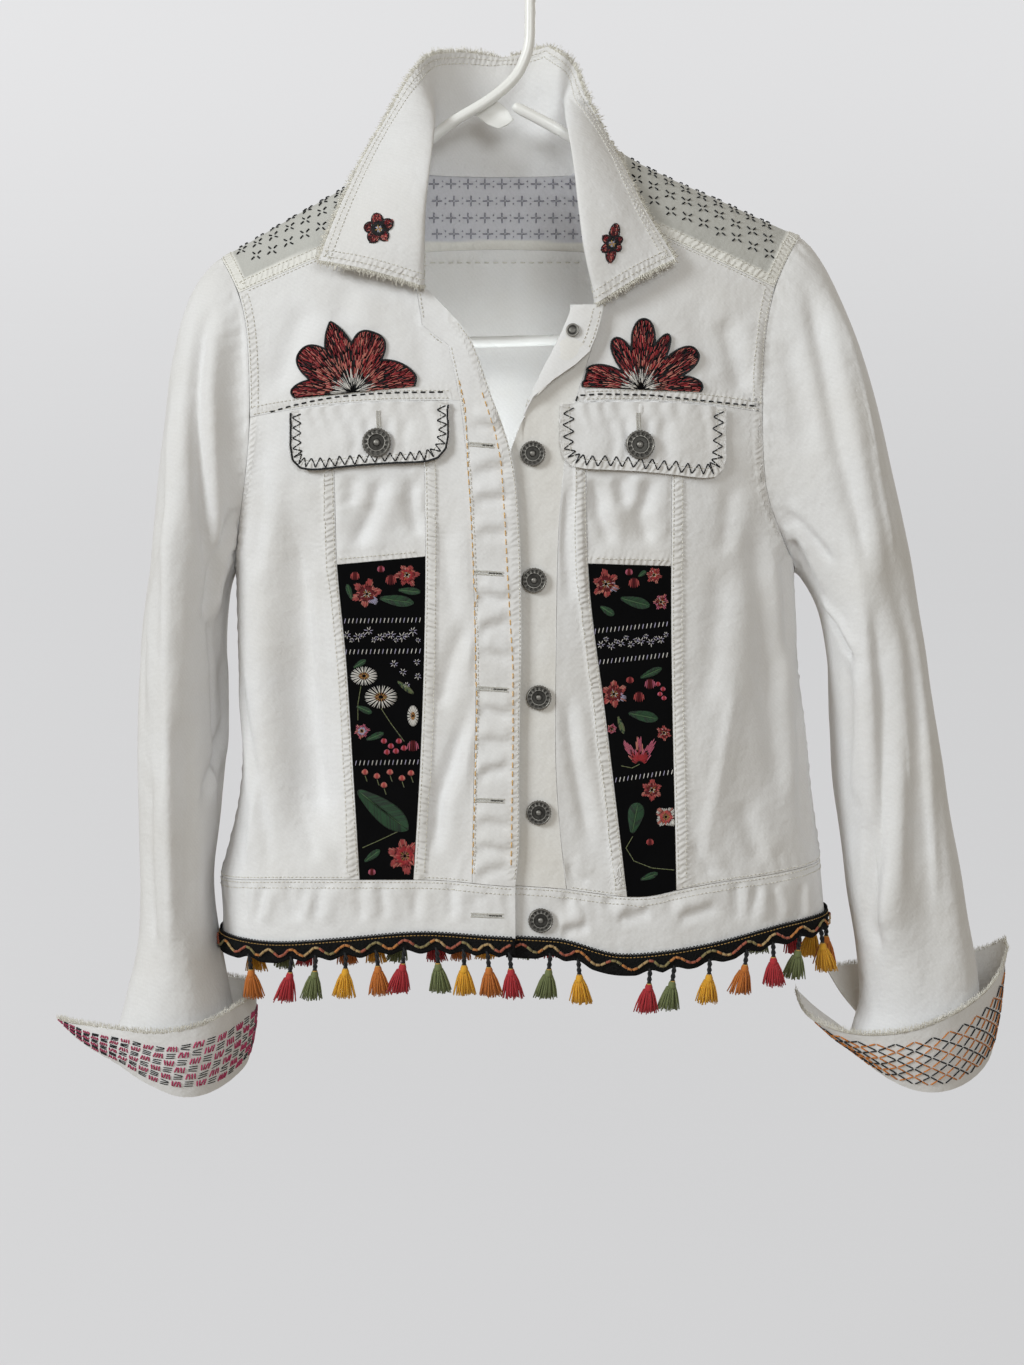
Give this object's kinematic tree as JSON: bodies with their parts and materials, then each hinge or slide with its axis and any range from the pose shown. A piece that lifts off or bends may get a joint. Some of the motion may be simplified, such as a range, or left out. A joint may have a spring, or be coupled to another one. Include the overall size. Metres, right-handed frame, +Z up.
{
  "type": "denim jacket on a hanger",
  "caption": "Cropped white denim jacket, buttoned, on a plastic hanger, with chest flaps, flowered black inserts, grey yoke, turned-up cuffs and a tasselled hem.",
  "frame": {"origin": "hook seat: the highest point of the inside of the hanger's hook, where a rail carries it", "axes": "+Z up, front of the jacket towards -Y, the wearer's left towards +X"},
  "size_m": [0.7234, 0.1516, 0.8556],
  "materials": {
    "white_denim": "washed off-white cotton denim, matt twill",
    "grey_cotton": "light grey cotton with black cross stitches",
    "black_cloth": "black cloth with flower embroidery",
    "red_embroidery": "satin-stitched red thread",
    "black_braid": "black woven braid with coloured thread tassels",
    "dark_metal": "antique gunmetal, worn bright on the rims",
    "white_plastic": "glossy white plastic tube"
  },
  "bodies": {
    "root": {"back_panel": "white_denim", "back_yoke": "grey_cotton", "button_1": "dark_metal", "button_2": "dark_metal", "button_3": "dark_metal", "button_4": "dark_metal", "button_5": "dark_metal", "collar": "white_denim", "cuff_left": "white_denim", "cuff_right": "white_denim", "flap_button_left": "dark_metal", "flap_button_right": "dark_metal", "floral_insert_left": "black_cloth", "floral_insert_right": "black_cloth", "flower_left": "red_embroidery", "flower_right": "red_embroidery", "front_centre_left": "white_denim", "front_centre_right": "white_denim", "front_side_left": "white_denim", "front_side_right": "white_denim", "front_yoke_left": "white_denim", "front_yoke_right": "white_denim", "hanger_tube": "white_plastic", "hanger_web": "white_plastic", "lapel_rivet": "dark_metal", "placket_left": "white_denim", "placket_right": "white_denim", "pocket_flap_left": "white_denim", "pocket_flap_right": "white_denim", "pocket_panel_left": "white_denim", "pocket_panel_right": "white_denim", "sleeve_left": "white_denim", "sleeve_right": "white_denim", "tassel_braid": "black_braid", "waistband": "white_denim"}
  },
  "joints": []
}
